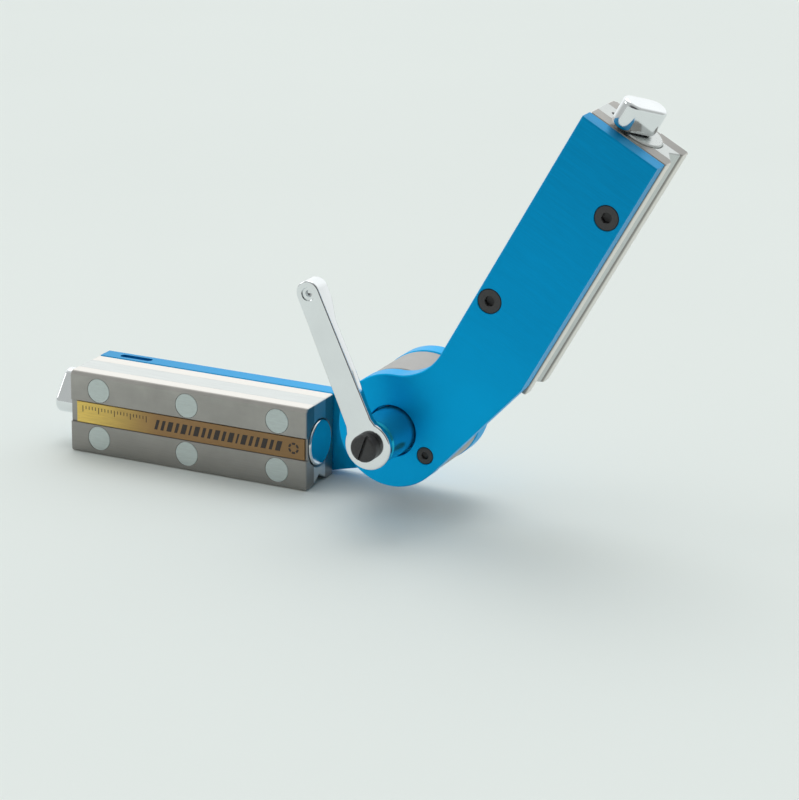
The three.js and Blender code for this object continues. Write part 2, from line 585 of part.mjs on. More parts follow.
// A whole arm under one name prefix: the magnet bar, its rotor and knob, and its side plate.
function arm(prefix, hingeScrewTip, knobAngle) {
  const group = new THREE.Group();
  const bar = new THREE.Group();
  bar.position.y = -BAR_OFFSET;
  group.add(bar);
  const addTo = (parent) => (name, body, finishName) =>
    addPart(parent, `${prefix}_${name}`, body, finishName);
  const add = addTo(bar);
  add("label_pole", labelPole(), "ground_steel");
  add("plate_pole", platePole(), "ground_steel");
  add("back_spacer", backSpacer(), "spacer_alloy");
  add("vee_spacer", workSpacer(), "spacer_alloy");
  boltPlaces.forEach((place, i) => add(`tie_bolt_${i + 1}`, tieBolt(place), "bolt_alloy"));
  add("label_plate", labelPlate(), "label_gold");
  add("bearing_bush", bearingBush(), "bush_steel");
  add("detent_plunger", detentPlunger(), "black_oxide");
  const addBeside = addTo(group);
  addBeside("side_plate", sidePlate(hingeScrewTip > -plateInner), "blue_anodised");
  plateScrewPlaces.forEach((place, i) =>
    addBeside(`plate_screw_${i + 1}`, plateScrew(place), "black_oxide"));
  addBeside("hinge_screw", hingeScrew(hingeScrewTip), "black_oxide");
  const rotor = new THREE.Group();
  rotor.position.set(0, 0, rotorZ);
  rotor.rotation.x = radians(knobAngle);
  const addRotor = (name, body, finishName) => {
    addPart(rotor, `${prefix}_${name}`, body, finishName).position.set(0, 0, -rotorZ);
  };
  addRotor("rotor_magnet", rotorMagnet(), "magnet");
  addRotor("rotor_end_disc", rotorEndDisc(), "chrome");
  addRotor("knob", knob(), "chrome");
  addRotor("knob_pin", knobPin(), "black_oxide");
  bar.add(rotor);
  return group;
}

const model = new THREE.Group();

const lowerArm = arm("lower", -plateInner + FIT_GAP + DRUM_SCREW_GRIP, LOWER_KNOB_ANGLE);
lowerArm.rotation.z = Math.PI;
model.add(lowerArm);

const upperArm = arm("upper", -plateInner - HINGE_SCREW_WALL - FIT_GAP, UPPER_KNOB_ANGLE);
upperArm.rotation.y = -radians(180 - REST_ANGLE);
model.add(upperArm);

addPart(model, "hinge_drum", drum(), "drum_steel");
addPart(model, "friction_washer", ring(drumRadius - WASHER_RECESS, studHole, washerFront,
  washerFront + WASHER_THICKNESS, FINE), "brass");
addPart(model, "thrust_washer", ring(HUB_RADIUS, studHole, -(pocketFloor + FIT_GAP + WASHER_THICKNESS),
  -(pocketFloor + FIT_GAP), COARSE), "brass");
addPart(model, "clamp_stud", clampStud(), "black_oxide");
addPart(model, "clamp_hub", hub(), "blue_anodised");
addPart(model, "hub_set_screw", setScrew(), "black_oxide");
addPart(model, "lever_screw", leverScrew(), "black_oxide");
addPart(model, "clamp_lever", lever(), "chrome").rotation.y = -radians(LEVER_ANGLE);

// The origin goes to the bottom centre of the bounding box.
const box = new THREE.Box3().setFromObject(model, true);
const centre = box.getCenter(new THREE.Vector3());
model.position.set(-centre.x, -centre.y, -box.min.z);

const magnetHolder = new THREE.Group();
magnetHolder.add(model);

export default magnetHolder;
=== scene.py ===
import itertools
import json
import math

import bmesh
import bpy
from bpy.props import FloatProperty, FloatVectorProperty, PointerProperty
from mathutils import Matrix, Vector


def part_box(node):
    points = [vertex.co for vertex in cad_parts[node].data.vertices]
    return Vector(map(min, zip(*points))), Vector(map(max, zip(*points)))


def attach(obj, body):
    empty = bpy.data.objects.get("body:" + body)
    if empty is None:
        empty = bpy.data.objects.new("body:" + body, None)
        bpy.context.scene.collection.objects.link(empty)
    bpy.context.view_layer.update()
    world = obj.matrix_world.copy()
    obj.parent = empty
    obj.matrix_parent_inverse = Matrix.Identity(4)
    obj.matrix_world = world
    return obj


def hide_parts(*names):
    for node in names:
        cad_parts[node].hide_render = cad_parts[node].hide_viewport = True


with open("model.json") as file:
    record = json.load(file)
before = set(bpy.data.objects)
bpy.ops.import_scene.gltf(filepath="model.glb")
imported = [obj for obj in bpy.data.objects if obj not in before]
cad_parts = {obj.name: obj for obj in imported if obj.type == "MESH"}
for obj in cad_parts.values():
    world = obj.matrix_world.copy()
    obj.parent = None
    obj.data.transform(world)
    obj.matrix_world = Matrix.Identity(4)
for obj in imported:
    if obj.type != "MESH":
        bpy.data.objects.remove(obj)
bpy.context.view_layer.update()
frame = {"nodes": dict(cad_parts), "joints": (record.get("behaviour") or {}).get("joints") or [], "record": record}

bl_info = {
    "name": "Welding Magnet Holder",
    "version": (1, 0, 0),
    "blender": (4, 5, 0),
    "location": "3D View > Sidebar > Magnet Holder",
    "description": "Builds the finished surfaces of an adjustable two-bar welding magnet",
    "category": "Object",
}

# ---- The frame ----

JOINTS = {joint["name"]: joint for joint in frame["joints"]}
MOUNTS = {mount["name"]: mount for mount in frame["record"]["mounts"]}
HINGE = Vector(JOINTS["arm_hinge"]["pos_m"])
ARMS = ("lower", "upper")
BOLTS = [f"tie_bolt_{i}" for i in range(1, 7)]
PLATE_SCREWS = ("plate_screw_1", "plate_screw_2", "hinge_screw")
MM = 0.001
PAST = 1 * MM  # how far a cutter runs past the face it opens
BORE = 5.3 * MM  # radius of the holes round the clamp stud


def arm_frame(arm):
    """An arm's own frame: hinge axis along Y, bar along +X, working face towards -Z."""
    along = Vector(JOINTS[f"{arm}_knob_turn"]["axis"]).normalized()
    up = -Vector(MOUNTS[f"{arm}_working_face"]["axis"]).normalized()
    turn = Matrix((along, up.cross(along), up)).transposed()
    return Matrix.Translation(HINGE) @ turn.to_4x4()


HINGE_FRAME = Matrix.Translation(HINGE)


def box_in(matrix, node):
    """A CAD node's lowest and highest corners in another frame that lies square to it."""
    corners = [matrix.inverted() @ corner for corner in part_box(node)]
    return Vector(map(min, *corners)), Vector(map(max, *corners))


def arm_box(node):
    return box_in(arm_frame("lower"), f"lower_{node}")


def hinge_box(node):
    return box_in(HINGE_FRAME, node)


def middle(box):
    return (box[0] + box[1]) / 2


def seat_of(box):
    """A round head's radius and the place of its axis, which runs along Y."""
    centre = middle(box)
    return radius_of(box), (centre.x, 0, centre.z)


def radius_of(box, axis="x"):
    return (getattr(box[1], axis) - getattr(box[0], axis)) / 2


def rotor_axis():
    """Where the rotor's axis crosses the arm's own (y, z) plane."""
    centre = middle(arm_box("bearing_bush"))
    return Vector((0, centre.y, centre.z))


# ---- Settings a user may change ----


def length(name, description, default_mm, most_mm=200, least_mm=0):
    return FloatProperty(
        name=name, description=description, default=default_mm * MM, min=least_mm * MM,
        max=most_mm * MM, precision=5, unit="LENGTH", subtype="DISTANCE")


def angle(name, description, degrees):
    return FloatProperty(
        name=name, description=description, default=math.radians(degrees), unit="ROTATION",
        subtype="ANGLE")


def colour(name, description, red, green, blue):
    return FloatVectorProperty(
        name=name, description=description, default=(red, green, blue), min=0, max=1, size=3,
        subtype="COLOR")


class MagnetHolderSizes(bpy.types.PropertyGroup):
    """Sizes of the edges and details that the frame doesn't give"""

    seam: length("Seam", "Gap shown between fitted pieces", 0.07)
    long_chamfer: length("Long chamfer", "Upper edge of the pole on the label side", 1.5)
    edge_chamfer: length("Edge chamfer", "Other long edges of the poles", 0.55)
    end_chamfer: length("End chamfer", "Edges round the bar's ends", 0.35)
    vee_width: length("Vee width", "Width of the groove in the working face", 14)
    vee_depth: length("Vee depth", "Depth of the groove in the working face", 4)
    neck_fillet: length("Neck fillet", "Inner radius where the plate's blade meets its hinge disc", 23.2)
    neck_angle: angle("Neck angle", "Slope of the plate's lower edge as it leaves the hinge", 14)
    plate_ease: length("Plate ease", "Chamfer round the plate's faces", 0.45)
    slot_length: length("Slot length", "Slot in the plate's upper edge", 16)
    slot_width: length("Slot width", "Slot in the plate's upper edge", 3.5)
    slot_depth: length("Slot depth", "Slot in the plate's upper edge", 3)
    slot_margin: length("Slot margin", "Slot to the plate's far end", 8.2)
    groove_ease: length("Groove ease", "Chamfer on the label groove's edges", 0.3)
    knob_length: length("Knob length", "Long side of the knob", 20.8)
    knob_width: length("Knob width", "Short side of the knob", 10.4)
    knob_offset: length("Knob offset", "Rotor axis to the knob's middle, along its long side", 4.8)
    knob_ease: length("Knob ease", "Radius of the knob's edges", 1.7)
    lower_knob: angle("Lower knob", "Turn of the lower knob, from lying straight across its bar", -51)
    upper_knob: angle("Upper knob", "Turn of the upper knob, from lying straight across its bar", -34)
    lever_length: length("Lever length", "Hinge axis to the centre of the lever's tip", 66.6)
    lever_angle: angle("Lever angle", "Direction of the lever from +X towards +Z", 114.4)
    lever_head: length("Lever head", "Radius of the lever's head", 10.1)
    lever_root: length("Lever root", "Width of the arm where it leaves the head", 12.2)
    lever_tip: length("Lever tip", "Radius of the lever's tip", 5.2)
    lever_neck: length("Lever neck", "Thickness of the lever's head", 4.6)
    lever_waist: length("Lever waist", "Thickness of the arm before it swells", 6.2)
    lever_swell: length("Lever swell", "Thickness of the lever's tip", 10.2)
    lever_ease: length("Lever ease", "Radius of the lever's front edges", 0.7)
    lever_round: length("Lever round", "Radius of the lever's back edges", 2.6)
    hub_pocket_gap: length("Hub pocket gap", "Dark ring round the hub", 0.75)
    screw_slot: length("Screw slot", "Width of the slot in the lever's screw", 1.3)
    screw_turn: angle("Screw turn", "Turn of that slot from +X towards +Z", 72)


class MagnetHolderColours(bpy.types.PropertyGroup):
    """Base colours of the finishes"""

    steel: colour("Ground steel", "Poles", 0.36, 0.345, 0.325)
    spacer: colour("Spacer alloy", "Non-magnetic spacers", 0.62, 0.64, 0.63)
    bolt: colour("Bolt heads", "Ground flush heads of the tie bolts", 0.60, 0.66, 0.645)
    blue: colour("Blue anodising", "Side plates and hub", 0.0, 0.33, 0.68)
    chrome: colour("Chrome", "Lever, knobs and end discs", 0.80, 0.82, 0.83)
    black: colour("Black oxide", "Screws", 0.035, 0.034, 0.035)
    drum: colour("Turned steel", "Hinge drum", 0.4, 0.39, 0.38)
    gold: colour("Label gold", "Label at its far end", 0.80, 0.57, 0.13)
    bronze: colour("Label bronze", "Label at its hinge end", 0.36, 0.20, 0.075)
    ink: colour("Ink", "Marks on the label", 0.03, 0.022, 0.018)
    floor: colour("Floor", "Studio floor", 0.83, 0.87, 0.845)


class MagnetHolderView(bpy.types.PropertyGroup):
    """Where the camera stands"""

    azimuth: angle("Azimuth", "Camera's direction round the object, from the front", 25.219)
    elevation: angle("Elevation", "Camera's height above the horizon", 18.091)
    roll: angle("Roll", "Turn about the line of sight", 0.933)
    distance: length("Distance", "Camera to the point it aims at", 1221.7, 10000)
    lens: FloatProperty(
        name="Lens", description="Focal length on a 36 mm sensor", default=131.32, min=10, max=400,
        unit="CAMERA")
    aim_x: length("Aim X", "Aim point to the right of the hinge", -7.27, 100, -100)
    aim_z: length("Aim Z", "Aim point above the hinge", 5.61, 100, -100)


def sizes():
    return bpy.context.scene.magnet_holder_sizes


def colours():
    return bpy.context.scene.magnet_holder_colours


# ---- Outlines and meshes ----


def arc(a, b, radius, start, end, steps):
    """Points on a circle round (a, b), from one angle in degrees to another."""
    turns = [math.radians(start + (end - start) * i / steps) for i in range(steps + 1)]
    return [(a + radius * math.cos(t), b + radius * math.sin(t)) for t in turns]


def rectangle(a0, a1, b0, b1):
    return [(a0, b0), (a1, b0), (a1, b1), (a0, b1)]


def stadium(half_straight, radius, a=0.0, b=0.0, steps=24):
    return (arc(a + half_straight, b, radius, -90, 90, steps)
            + arc(a - half_straight, b, radius, 90, 270, steps))


def gentle(t):
    """Runs from 0 to 1 with no slope at either end."""
    return t * t * (3 - 2 * t)


def inset(outline, amount):
    """The outline moved inwards by an amount, corner by corner."""
    points = [Vector(p) for p in outline]
    area = sum(p.cross(q) for p, q in zip(points, points[1:] + points[:1]))
    side = 1 if area > 0 else -1
    moved = []
    for i, point in enumerate(points):
        before = (point - points[i - 1]).normalized()
        after = (points[(i + 1) % len(points)] - point).normalized()
        first, second = (Vector((-d.y, d.x)) * side for d in (before, after))
        split = (first + second).normalized()
        moved.append(point + split * (amount / max(0.3, split.dot(first))))
    return moved


def band(bm, low, high):
    """Faces between two closed rings of the same count."""
    for i, vert in enumerate(low):
        j = (i + 1) % len(low)
        bm.faces.new((vert, low[j], high[j], high[i]))


def object_from(bm, name):
    mesh = bpy.data.meshes.new(name)
    bm.to_mesh(mesh)
    bm.free()
    piece = bpy.data.objects.new(name, mesh)
    bpy.context.scene.collection.objects.link(piece)
    return piece


def on_axis(axis, along, a, b):
    """A point with one coordinate along an axis and the other two, in order, across it."""
    return {"x": (along, a, b), "y": (a, along, b), "z": (a, b, along)}[axis]


def prism(name, outline, start, end, axis="y", ease=0.0, steps=1):
    """An outline carried from start to end along an axis, with both its rims eased."""
    bm = bmesh.new()
    rings = []
    turns = [math.pi / 2 * i / steps for i in range(steps + 1)] if ease else [0]
    levels = [(start + ease * (1 - math.cos(t)), ease * (1 - math.sin(t))) for t in turns]
    levels += [(end - ease * (1 - math.cos(t)), ease * (1 - math.sin(t))) for t in reversed(turns)]
    for level, amount in levels:
        shape = inset(outline, amount) if amount > 1e-9 else outline
        rings.append([bm.verts.new(on_axis(axis, level, a, b)) for a, b in shape])
    for low, high in zip(rings, rings[1:]):
        band(bm, low, high)
    bm.faces.new(reversed(rings[0]))
    bm.faces.new(rings[-1])
    bmesh.ops.remove_doubles(bm, verts=bm.verts, dist=1e-7)
    bmesh.ops.recalc_face_normals(bm, faces=bm.faces)
    return object_from(bm, name)


def turned(name, profile, centre=(0, 0, 0), axis="y", steps=72):
    """A turned piece. The profile lists (radius, distance along the axis) and may be closed."""
    bm = bmesh.new()
    turns = [2 * math.pi * i / steps for i in range(steps)]
    closed = profile[0] == profile[-1]
    points = profile[:-1] if closed else profile
    rings = []
    for radius, along in points:
        if radius < 1e-9:
            rings.append([bm.verts.new(on_axis(axis, along, 0, 0))])
            continue
        rings.append([bm.verts.new(on_axis(axis, along, radius * math.cos(t), radius * math.sin(t)))
                      for t in turns])
    pairs = list(zip(rings, rings[1:]))
    if closed:
        pairs.append((rings[-1], rings[0]))
    for low, high in pairs:
        if len(low) == len(high) == steps:
            band(bm, low, high)
        elif len(low) != len(high):
            tip, ring = (low[0], high) if len(low) == 1 else (high[0], low)
            for i, vert in enumerate(ring):
                bm.faces.new((tip, vert, ring[(i + 1) % steps]))
    bmesh.ops.translate(bm, verts=bm.verts, vec=Vector(centre))
    bmesh.ops.recalc_face_normals(bm, faces=bm.faces)
    return object_from(bm, name)


def rod(radius, start, end):
    """The profile of a plain cylinder."""
    return [(0, start), (radius, start), (radius, end), (0, end)]


def tube(bore, radius, start, end, start_ease=0.0, end_ease=0.0):
    """The closed profile of a ring, with its outer rims eased."""
    first = [(radius, start)]
    if start_ease:
        first = [(radius - start_ease, start), (radius, start + start_ease)]
    last = [(radius, end - end_ease), (radius - end_ease, end)]
    return [(bore, start), *first, *last, (bore, end), (bore, start)]


def applied(piece):
    """Turns a piece's modifiers into its mesh."""
    graph = bpy.context.evaluated_depsgraph_get()
    graph.update()
    old = piece.data
    piece.data = bpy.data.meshes.new_from_object(piece.evaluated_get(graph))
    piece.modifiers.clear()
    bpy.data.meshes.remove(old)
    return piece


def discard(piece):
    mesh = piece.data
    bpy.data.objects.remove(piece)
    bpy.data.meshes.remove(mesh)


def combine(piece, cutters, operation="DIFFERENCE"):
    """Cuts or joins a piece with other meshes, which are used up."""
    for cutter in cutters:
        boolean = piece.modifiers.new("cut", "BOOLEAN")
        boolean.operation = operation
        boolean.solver = "EXACT"
        boolean.object = cutter
        applied(piece)
        discard(cutter)
    return piece


def smooth(piece, sharpest=28):
    """Smooth shading, with every edge steeper than the angle kept sharp and flat faces kept flat."""
    bm = bmesh.new()
    bm.from_mesh(piece.data)
    bmesh.ops.remove_doubles(bm, verts=bm.verts, dist=1e-6)
    bmesh.ops.dissolve_degenerate(bm, edges=bm.edges, dist=1e-6)
    for face in bm.faces:
        face.smooth = True
    for edge in bm.edges:
        edge.smooth = len(edge.link_faces) == 2 and edge.calc_face_angle(0) < math.radians(sharpest)
    bm.to_mesh(piece.data)
    bm.free()
    weighted = piece.modifiers.new("flat faces stay flat", "WEIGHTED_NORMAL")
    weighted.keep_sharp = True
    return applied(piece)


def set_down(piece, matrix, body, maker, replaces=()):
    """Carries a mesh to its place, keeps its own coordinates for the finish, and ties it down."""
    mesh = piece.data
    own = mesh.attributes.new("place", "FLOAT_VECTOR", "POINT")
    own.data.foreach_set("vector", [value for vert in mesh.vertices for value in vert.co])
    mesh.transform(matrix)
    piece.matrix_world = Matrix.Identity(4)
    mesh.materials.clear()
    mesh.materials.append(finish(maker))
    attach(piece, body)
    if replaces:
        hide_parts(*replaces)


def on_clamp(piece, maker, node, turn=Matrix()):
    """Sets a piece of the clamp down on the hinge axis."""
    set_down(piece, HINGE_FRAME @ turn, "clamp_lever", maker, [node])


def on_both_arms(piece, name, body, maker, replaces=()):
    """Sets the same mesh down on each arm, under that arm's names."""
    for arm in ARMS:
        copy = bpy.data.objects.new(f"{arm}_{name}", piece.data.copy())
        bpy.context.scene.collection.objects.link(copy)
        nodes = [f"{arm}_{node}" for node in replaces]
        set_down(copy, arm_frame(arm), f"{arm}_{body}", maker, nodes)
    discard(piece)


# ---- Materials ----


class Wiring:
    """Short forms for adding nodes to a tree."""

    def __init__(self, tree):
        self.tree = tree

    def node(self, kind, inputs=None, **values):
        made = self.tree.nodes.new(kind)
        for key, value in values.items():
            setattr(made, key, value)
        for socket, value in (inputs or {}).items():
            self.feed(made.inputs[socket], value)
        return made

    def feed(self, socket, value):
        """Sets a socket, or links it where the value is another node's output."""
        if isinstance(value, bpy.types.NodeSocket):
            self.tree.links.new(value, socket)
        else:
            socket.default_value = value

    def remap(self, value, start, end, low=0.0, high=1.0, smooth=False):
        kind = "SMOOTHSTEP" if smooth else "LINEAR"
        limits = {"Value": value, "From Min": start, "From Max": end, "To Min": low, "To Max": high}
        return self.node("ShaderNodeMapRange", limits, interpolation_type=kind).outputs["Result"]

    def blend(self, factor, first, second):
        ends = [end if isinstance(end, bpy.types.NodeSocket) else (*end, 1) for end in (first, second)]
        inputs = {"Factor": factor, "A": ends[0], "B": ends[1]}
        return self.node("ShaderNodeMix", inputs, data_type="RGBA").outputs["Result"]


class Finish(Wiring):
    """A node material in the making, laid out in the piece's own coordinates."""

    def __init__(self, name, base, metallic, roughness, specular=0.5, kept=False):
        self.material = bpy.data.materials.new(name)
        self.material.use_nodes = True
        super().__init__(self.material.node_tree)
        self.shader = self.tree.nodes["Principled BSDF"].inputs
        self.shader["Base Color"].default_value = (*base, 1)
        self.shader["Metallic"].default_value = metallic
        self.shader["Roughness"].default_value = roughness
        self.shader["Specular IOR Level"].default_value = specular
        if kept:
            self.place = self.node("ShaderNodeTexCoord").outputs["Object"]
        else:
            self.place = self.node("ShaderNodeAttribute", attribute_name="place").outputs["Vector"]
        self.material.diffuse_color = (*base, 1)

    def noise(self, scale, detail=3, roughness=0.55):
        """Noise with one scale, or with one for each axis."""
        vector = self.place
        if isinstance(scale, tuple):
            vector = self.node("ShaderNodeMapping", {"Vector": vector, "Scale": scale}).outputs["Vector"]
            scale = 1
        inputs = {"Vector": vector, "Scale": scale, "Detail": detail, "Roughness": roughness}
        return self.node("ShaderNodeTexNoise", inputs).outputs["Fac"]

    def spread(self, value, low, high):
        """Maps a texture's middle range on to low to high."""
        return self.remap(value, 0.25, 0.75, low, high)

    def ramp(self, axis, start, end, first, second, smooth=False):
        """Blends from first to second between two places along an axis."""
        split = self.node("ShaderNodeSeparateXYZ", {"Vector": self.place})
        return self.blend(self.remap(split.outputs[axis], start, end, smooth=smooth), first, second)

    def colour_by(self, factor, first, second):
        self.feed(self.shader["Base Color"], self.blend(factor, first, second))

    def rough_by(self, factor, low, high):
        self.feed(self.shader["Roughness"], self.spread(factor, low, high))

    def bump_by(self, height, strength, depth):
        bump = self.node("ShaderNodeBump", {"Height": height, "Strength": strength, "Distance": depth})
        self.feed(self.shader["Normal"], bump.outputs["Normal"])


def shaded(base, factor):
    return tuple(min(1.0, channel * factor) for channel in base)


def grained(name, base, metallic, roughness, grain, tones, rough, bump=None, specular=0.5, kept=False):
    """A finish whose colour, roughness and relief follow one grain. Tones shade the base."""
    made = Finish(name, base, metallic, roughness, specular, kept)
    pattern = made.noise(*grain)
    ends = [tone if isinstance(tone, tuple) else shaded(base, tone) for tone in tones]
    made.colour_by(made.spread(pattern, 0.0, 1.0), *ends)
    made.rough_by(pattern, *rough)
    if bump:
        made.bump_by(pattern, *bump)
    return made.material


def ground_steel():
    """Surface-ground steel: fine lines along the bar, faint mottling, painted shade that darkens it towards the
    bottom, and a painted highlight on the top face, with the same lighter tone on the bottom face.
    """
    base = colours().steel
    made = Finish("ground_steel", base, 1.0, 0.36)
    lines = made.noise((90, 2600, 2600), 4, 0.6)
    clouds = made.noise(70)
    low, high = arm_box("label_pole")
    # Painted shade: the steel is painted darker towards the bottom and lighter towards the top, as where light
    # falls from above.
    painted_shade_by_height = made.ramp("Z", low.z, high.z, shaded(base, 0.7), shaded(base, 1.25))
    tone = made.blend(made.spread(lines, 0.1, 0.6), painted_shade_by_height, shaded(base, 1.15))
    dull = made.blend(made.spread(clouds, 0.0, 0.5), tone, shaded(base, 0.72))
    # Painted highlight: the top face is painted much lighter, as where light falls from above; the bottom face
    # gets the same lighter tone.
    painted_highlight_faces = shaded(base, 2.1)
    fade_start, fade_end = 0.1 * MM, 0.5 * MM
    top = made.ramp("Z", high.z - fade_end, high.z - fade_start, dull, painted_highlight_faces)
    both = made.ramp("Z", low.z + fade_start, low.z + fade_end, painted_highlight_faces, top)
    made.feed(made.shader["Base Color"], both)
    made.rough_by(lines, 0.28, 0.46)
    made.bump_by(lines, 0.18, 0.00004)
    return made.material


def spacer_alloy():
    return grained("spacer_alloy", colours().spacer, 1.0, 0.4, ((60, 2200, 2200), 3, 0.5), (0.9, 1.1),
                   (0.34, 0.5), (0.12, 0.00003))


def bolt_alloy():
    return grained("bolt_alloy", colours().bolt, 0.75, 0.5, ((200, 1800, 1800), 3, 0.5), (0.92, 1.08),
                   (0.46, 0.6), (0.08, 0.00002))


def blue_anodised():
    """Milled and anodised aluminium: a satin blue, with painted light that makes it lighter near the hinge and
    darker towards the far end.
    """
    base = colours().blue
    made = Finish("blue_anodised", base, 0.62, 0.4, 0.12)
    grain = made.noise(3600, 2, 0.6)
    strokes = made.noise((1500, 1500, 90), 3, 0.5)
    clouds = made.noise(28, 2)
    far = arm_box("side_plate")[1].x
    # Painted light and shade: the plate is painted lighter near the hinge and darker at its far end, as a falloff
    # of the light.
    painted_light_near_hinge = (base[0] * 1.3, base[1] * 1.35, base[2] * 1.28)
    painted_falloff_middle = made.ramp("X", 20 * MM, far * 0.5, painted_light_near_hinge, base, True)
    tone = made.ramp("X", far * 0.5, far, painted_falloff_middle, shaded(base, 0.8), True)
    deeper = made.blend(made.spread(clouds, 0.0, 0.35), tone, shaded(base, 0.86))
    made.colour_by(made.spread(strokes, 0.0, 0.25), deeper, shaded(base, 1.3))
    made.rough_by(grain, 0.34, 0.46)
    made.bump_by(strokes, 0.06, 0.00002)
    return made.material


def hub_blue():
    """The hub's anodising over a fine turned surface, smoother than the plates."""
    red, green, blue = colours().blue
    base = (red + 0.02, green * 1.45, blue * 1.05)
    return grained("hub_blue", base, 0.75, 0.2, ((30, 2600, 30), 3, 0.5), (0.93, 1.07), (0.14, 0.26),
                   (0.06, 0.00002), 0.1)


def chrome():
    return grained("chrome", colours().chrome, 1.0, 0.08, (90,), (0.97, 1.03), (0.06, 0.13),
                   (0.02, 0.00005))


def black_oxide():
    return grained("black_oxide", colours().black, 0.35, 0.42, (1500,), (1.0, 1.7), (0.34, 0.52),
                   (0.15, 0.00003), 0.6)


def turned_steel():
    """Lathe-turned steel: fine rings round the hinge axis."""
    base = colours().drum
    made = Finish("turned_steel", base, 1.0, 0.4)
    rings = made.noise((40, 3200, 40), 4, 0.6)
    tone = made.blend(made.spread(rings, 0.0, 1.0), shaded(base, 0.8), shaded(base, 1.2))
    made.colour_by(made.spread(made.noise(160), 0.0, 0.4), tone, shaded(base, 0.75))
    made.rough_by(rings, 0.34, 0.52)
    made.bump_by(rings, 0.3, 0.00005)
    return made.material


def bush_steel():
    return grained("bush_steel", shaded(colours().spacer, 0.95), 1.0, 0.3, (900,), (0.95, 1.05),
                   (0.24, 0.36), (0.05, 0.00002))


def label_foil():
    """Printed foil that runs from bright gold at the far end to bronze at the hinge end."""
    tint = colours()
    low, high = arm_box("label_plate")
    made = Finish("label_foil", tint.gold, 0.35, 0.38, 0.6)
    grain = made.noise((150, 1500, 1500), 3, 0.5)
    turn = low.x + (high.x - low.x) * 0.6
    near = made.ramp("X", low.x, turn, shaded(tint.bronze, 0.85), tint.bronze)
    tone = made.ramp("X", turn, high.x, near, shaded(tint.gold, 1.25), True)
    made.colour_by(made.spread(grain, 0.0, 0.25), tone, shaded(tint.bronze, 0.8))
    made.rough_by(grain, 0.3, 0.46)
    made.bump_by(grain, 0.06, 0.00002)
    return made.material


def label_ink():
    return grained("label_ink", colours().ink, 0.0, 0.5, (1200, 2), (1.0, 1.8), (0.45, 0.6))


def magnet_plate():
    tones = (0.13, 0.13, 0.14), (0.2, 0.2, 0.21)
    return grained("magnet_plate", (0.16, 0.16, 0.17), 1.0, 0.35, (700,), tones, (0.3, 0.45), kept=True)


def brass():
    tones = (0.48, 0.34, 0.12), (0.6, 0.44, 0.18)
    return grained("brass", (0.55, 0.4, 0.15), 1.0, 0.32, (600,), tones, (0.28, 0.4), kept=True)


def studio_floor():
    base = colours().floor
    made = Finish("studio_floor", base, 0.0, 0.8, 0.1, kept=True)
    made.colour_by(made.spread(made.noise(3, 2), 0.0, 1.0), shaded(base, 0.99), shaded(base, 1.01))
    return made.material


FINISHES = {}


def finish(maker):
    """Each finish is made once and shared."""
    if maker.__name__ not in FINISHES:
        FINISHES[maker.__name__] = maker()
    return FINISHES[maker.__name__]


# ---- Magnet bars, in the arm's own frame ----


def bar():
    """The whole bar's low and high corners."""
    label, plate = arm_box("label_pole"), arm_box("plate_pole")
    return Vector(map(min, label[0], plate[0])), Vector(map(max, label[1], plate[1]))


def bar_envelope():
    """The bar's outer shape, with its ends eased; each piece is trimmed to it."""
    s = sizes()
    low, high = bar()
    vee, ease, top = s.vee_width / 2, s.edge_chamfer, s.long_chamfer
    centre = (low.y + high.y) / 2
    outline = [
        (low.y, low.z + ease), (low.y + ease, low.z), (centre - vee, low.z),
        (centre, low.z + s.vee_depth), (centre + vee, low.z), (high.y - ease, low.z),
        (high.y, low.z + ease), (high.y, high.z - top),
        (high.y - top, high.z), (low.y + ease, high.z), (low.y, high.z - ease)]
    return prism("envelope", outline, low.x, high.x, "x", s.end_chamfer)


def rotor_pockets():
    """Cutters for the pockets of the end disc and the bush."""
    low, high = bar()
    disc, bush = arm_box("rotor_end_disc"), arm_box("bearing_bush")
    centre = rotor_axis()
    near = radius_of(disc, "z") + 0.45 * MM
    far = radius_of(bush, "z") + 0.15 * MM
    lip = 0.4 * MM
    near_floor = disc[1].x + 0.2 * MM
    far_floor = bush[0].x - 0.2 * MM
    return [
        turned("near_pocket", [
            (0, low.x - PAST), (near + PAST + lip, low.x - PAST), (near, low.x + lip),
            (near, near_floor), (0, near_floor)], centre, "x", 96),
        turned("far_pocket", [
            (0, far_floor), (far, far_floor), (far, high.x - lip),
            (far + PAST + lip, high.x + PAST), (0, high.x + PAST)], centre, "x", 96)]


def bolt_pockets():
    """Cutters for the seats of the tie bolts' heads."""
    face, gap, depth = bar()[1].y, 0.1 * MM, 2 * MM
    pockets = []
    for bolt in BOLTS:
        head, centre = seat_of(arm_box(bolt))
        radius = head + gap
        profile = [(0, face - depth), (radius, face - depth), (radius, face - gap),
                   (radius + gap + PAST, face + PAST), (0, face + PAST)]
        pockets.append(turned("bolt_pocket", profile, centre, steps=56))
    return pockets


def bar_piece(name, outline, cutters):
    low, high = bar()
    piece = prism(name, outline, low.x - PAST, high.x + PAST, "x")
    combine(piece, [bar_envelope()], "INTERSECT")
    return smooth(combine(piece, cutters))


